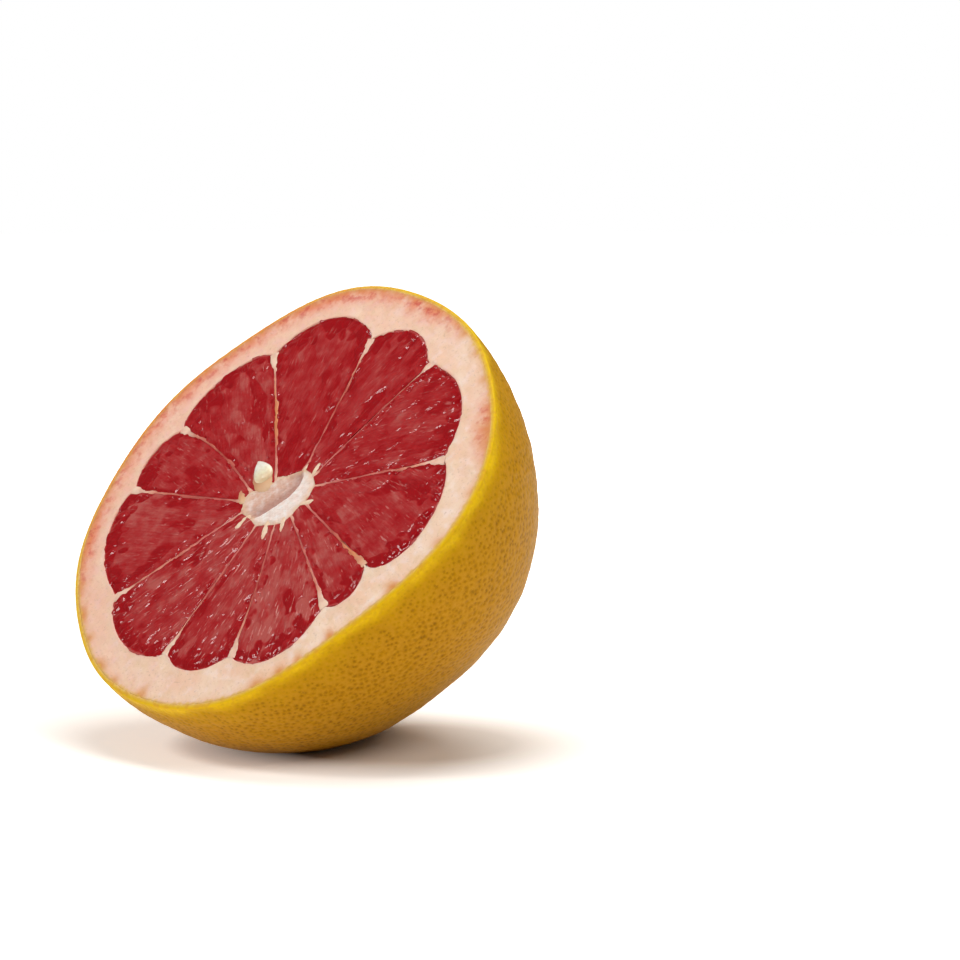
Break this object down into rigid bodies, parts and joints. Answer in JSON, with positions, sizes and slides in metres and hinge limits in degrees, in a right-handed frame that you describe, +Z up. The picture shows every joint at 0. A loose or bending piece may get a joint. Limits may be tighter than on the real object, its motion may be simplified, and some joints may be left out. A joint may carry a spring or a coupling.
{
  "type": "grapefruit half",
  "caption": "Pink grapefruit cut in half, lying on its peel with the red cut face leaning up and a small flat spot to rest on.",
  "frame": {"origin": "middle of the flat spot that the half rests on, in the plane of the surface below it", "axes": "+Z up from that surface; -Y the way the leaning cut face looks, with +Z; +X level, to the right as the cut face is seen"},
  "size_m": [0.1059, 0.0854, 0.0936],
  "materials": {
    "peel": "waxy satin, finely pitted with oil glands",
    "pith": "matte, spongy, freshly cut",
    "pulp": "wet, translucent juice sacs",
    "membrane": "moist, translucent segment walls",
    "core": "matte, moist, spongy",
    "seed": "smooth, satin",
    "stem_button": "dry, corky, matte"
  },
  "bodies": {
    "root": {"grapefruit_half": "peel"}
  },
  "joints": []
}
